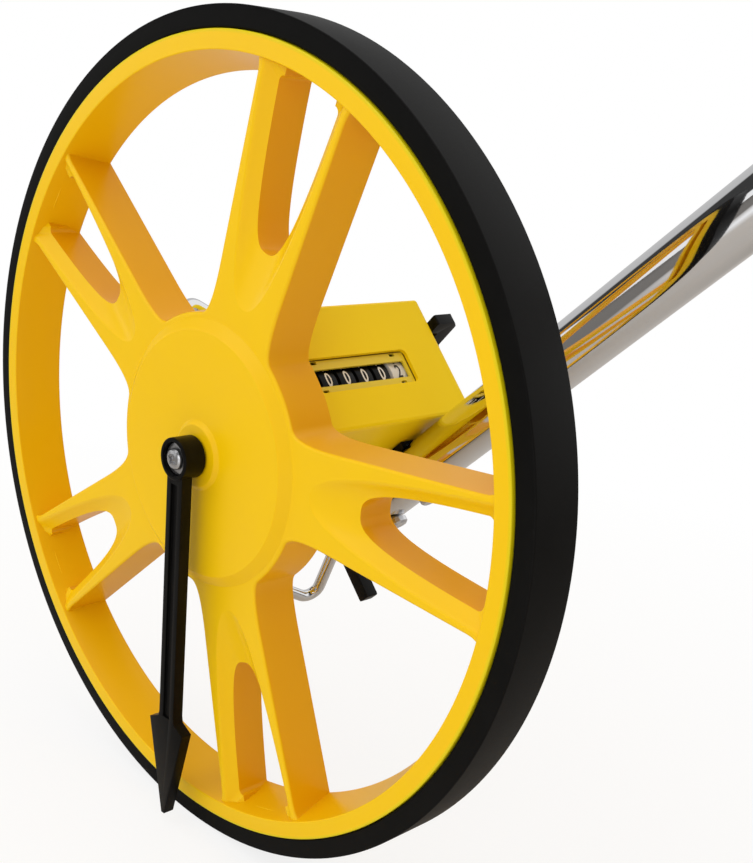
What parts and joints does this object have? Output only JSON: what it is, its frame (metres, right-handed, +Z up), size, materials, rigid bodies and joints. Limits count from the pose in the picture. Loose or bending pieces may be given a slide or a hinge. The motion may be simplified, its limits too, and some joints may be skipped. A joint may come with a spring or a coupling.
{
  "type": "measuring wheel",
  "caption": "Road measuring wheel with a spoked yellow wheel, rubber tyre, hanging pointer, drum counter box, wire stand and folding tube handle.",
  "frame": {"origin": "where the tyre meets the floor, under the middle of its tread and the axle", "axes": "+Z up, +Y along the axle from the pointer towards the counter and handle, +X the way the handle leans"},
  "size_m": [0.866, 0.1364, 0.787],
  "materials": {
    "tyre_rubber": "black tread rubber, satin",
    "grip_rubber": "black rubber, matt",
    "wheel_plastic": "yellow moulded plastic, semi-gloss",
    "body_paint": "yellow powder paint on sheet steel",
    "black_plastic": "black moulded plastic, semi-gloss",
    "white_plastic": "white moulded plastic",
    "grey_plastic": "grey moulded plastic",
    "chrome_plate": "bright chrome plate on steel",
    "zinc_plate": "bright zinc plate",
    "steel": "ground steel",
    "spring_steel": "dark spring steel",
    "bearing_bronze": "sintered bronze"
  },
  "bodies": {
    "handle": {"counter_housing": "body_paint", "rear_cover": "body_paint", "cover_screw_1": "zinc_plate", "cover_screw_2": "zinc_plate", "cover_screw_3": "zinc_plate", "cover_screw_4": "zinc_plate", "counter_plate": "body_paint", "bearing_near": "bearing_bronze", "bearing_far": "bearing_bronze", "drum_shaft": "steel", "pinion_shaft": "steel", "idler_pin": "steel", "reset_spring": "spring_steel", "lower_tube": "chrome_plate", "tube_end_block": "black_plastic", "tube_saddle_1": "black_plastic", "tube_saddle_2": "black_plastic", "tube_bolt_1": "zinc_plate", "tube_bolt_2": "zinc_plate", "tube_nut_1": "zinc_plate", "tube_nut_2": "zinc_plate", "lower_fold_cuff": "black_plastic", "fold_pin": "zinc_plate"},
    "wheel": {"tyre": "tyre_rubber", "wheel": "wheel_plastic", "axle": "steel", "axle_key": "steel", "rear_spacer": "zinc_plate", "axle_circlip": "spring_steel", "drive_gear": "white_plastic", "pointer_washer": "zinc_plate", "pointer_screw": "zinc_plate"},
    "pointer": {"pointer_arm": "black_plastic"},
    "idler": {"idler_gear": "grey_plastic"},
    "drum_1": {"digit_drum_1": "black_plastic"},
    "drum_2": {"digit_drum_2": "black_plastic"},
    "drum_3": {"digit_drum_3": "black_plastic"},
    "drum_4": {"digit_drum_4": "black_plastic"},
    "drum_5": {"digit_drum_5": "black_plastic"},
    "drum_6": {"digit_drum_6": "white_plastic", "counter_gear": "white_plastic"},
    "pinion_1": {"transfer_pinion_1": "grey_plastic"},
    "pinion_2": {"transfer_pinion_2": "grey_plastic"},
    "pinion_3": {"transfer_pinion_3": "grey_plastic"},
    "pinion_4": {"transfer_pinion_4": "grey_plastic"},
    "pinion_5": {"transfer_pinion_5": "grey_plastic"},
    "reset": {"reset_lever": "black_plastic", "reset_shaft": "steel", "reset_screw": "zinc_plate"},
    "stand": {"kickstand": "chrome_plate", "kickstand_clip": "spring_steel"},
    "upper_handle": {"upper_fold_cuff": "black_plastic", "upper_tube": "chrome_plate", "grip": "grip_rubber"},
    "knob": {"fold_knob": "black_plastic"}
  },
  "joints": [
    {"name": "wheel_spin", "type": "hinge", "parent": "handle", "child": "wheel", "pos_m": [0, 0, 0.159], "axis": [0, 1, 0], "continuous": true},
    {"name": "pointer_swing", "type": "hinge", "parent": "handle", "child": "pointer", "pos_m": [0, -0.02, 0.159], "axis": [0, 1, 0], "continuous": true},
    {"name": "idler_spin", "type": "hinge", "parent": "handle", "child": "idler", "pos_m": [0.00011, 0.07885, 0.17655], "axis": [0, 1, 0], "continuous": true},
    {"name": "drum_1_spin", "type": "hinge", "parent": "handle", "child": "drum_1", "pos_m": [0.01664, 0.03965, 0.18245], "axis": [0, 1, 0], "continuous": true},
    {"name": "drum_2_spin", "type": "hinge", "parent": "handle", "child": "drum_2", "pos_m": [0.01664, 0.03965, 0.18245], "axis": [0, 1, 0], "continuous": true},
    {"name": "drum_3_spin", "type": "hinge", "parent": "handle", "child": "drum_3", "pos_m": [0.01664, 0.03965, 0.18245], "axis": [0, 1, 0], "continuous": true},
    {"name": "drum_4_spin", "type": "hinge", "parent": "handle", "child": "drum_4", "pos_m": [0.01664, 0.03965, 0.18245], "axis": [0, 1, 0], "continuous": true},
    {"name": "drum_5_spin", "type": "hinge", "parent": "handle", "child": "drum_5", "pos_m": [0.01664, 0.03965, 0.18245], "axis": [0, 1, 0], "continuous": true},
    {"name": "drum_6_spin", "type": "hinge", "parent": "handle", "child": "drum_6", "pos_m": [0.01664, 0.03965, 0.18245], "axis": [0, 1, 0], "continuous": true},
    {"name": "pinion_1_spin", "type": "hinge", "parent": "handle", "child": "pinion_1", "pos_m": [0.01787, 0.03965, 0.1671], "axis": [0, 1, 0], "continuous": true},
    {"name": "pinion_2_spin", "type": "hinge", "parent": "handle", "child": "pinion_2", "pos_m": [0.01787, 0.03965, 0.1671], "axis": [0, 1, 0], "continuous": true},
    {"name": "pinion_3_spin", "type": "hinge", "parent": "handle", "child": "pinion_3", "pos_m": [0.01787, 0.03965, 0.1671], "axis": [0, 1, 0], "continuous": true},
    {"name": "pinion_4_spin", "type": "hinge", "parent": "handle", "child": "pinion_4", "pos_m": [0.01787, 0.03965, 0.1671], "axis": [0, 1, 0], "continuous": true},
    {"name": "pinion_5_spin", "type": "hinge", "parent": "handle", "child": "pinion_5", "pos_m": [0.01787, 0.03965, 0.1671], "axis": [0, 1, 0], "continuous": true},
    {"name": "reset_press", "type": "hinge", "parent": "handle", "child": "reset", "pos_m": [0.00649, 0.10165, 0.18125], "axis": [0, 1, 0], "range_deg": [0, 30], "stiffness_Nm_per_rad": 0.08},
    {"name": "stand_fold", "type": "hinge", "parent": "handle", "child": "stand", "pos_m": [-0.01139, 0.07985, 0.10832], "axis": [0, -1, 0], "range_deg": [0, 105]},
    {"name": "handle_fold", "type": "hinge", "parent": "handle", "child": "upper_handle", "pos_m": [0.37633, 0.07575, 0.4451], "axis": [0, 1, 0], "range_deg": [0, 176]},
    {"name": "knob_turn", "type": "hinge", "parent": "handle", "child": "knob", "pos_m": [0.37633, 0.07575, 0.4451], "axis": [0, 1, 0], "range_deg": [0, 360]}
  ],
  "couplings": [
    {"joint": "idler_spin", "follows": "wheel_spin", "ratio": -1.25},
    {"joint": "drum_1_spin", "follows": "wheel_spin", "ratio": 0.00001},
    {"joint": "drum_2_spin", "follows": "wheel_spin", "ratio": 0.0001},
    {"joint": "drum_3_spin", "follows": "wheel_spin", "ratio": 0.001},
    {"joint": "drum_4_spin", "follows": "wheel_spin", "ratio": 0.01},
    {"joint": "drum_5_spin", "follows": "wheel_spin", "ratio": 0.1},
    {"joint": "drum_6_spin", "follows": "wheel_spin", "ratio": 1},
    {"joint": "pinion_1_spin", "follows": "wheel_spin", "ratio": -0.000025},
    {"joint": "pinion_2_spin", "follows": "wheel_spin", "ratio": -0.00025},
    {"joint": "pinion_3_spin", "follows": "wheel_spin", "ratio": -0.0025},
    {"joint": "pinion_4_spin", "follows": "wheel_spin", "ratio": -0.025},
    {"joint": "pinion_5_spin", "follows": "wheel_spin", "ratio": -0.25}
  ]
}
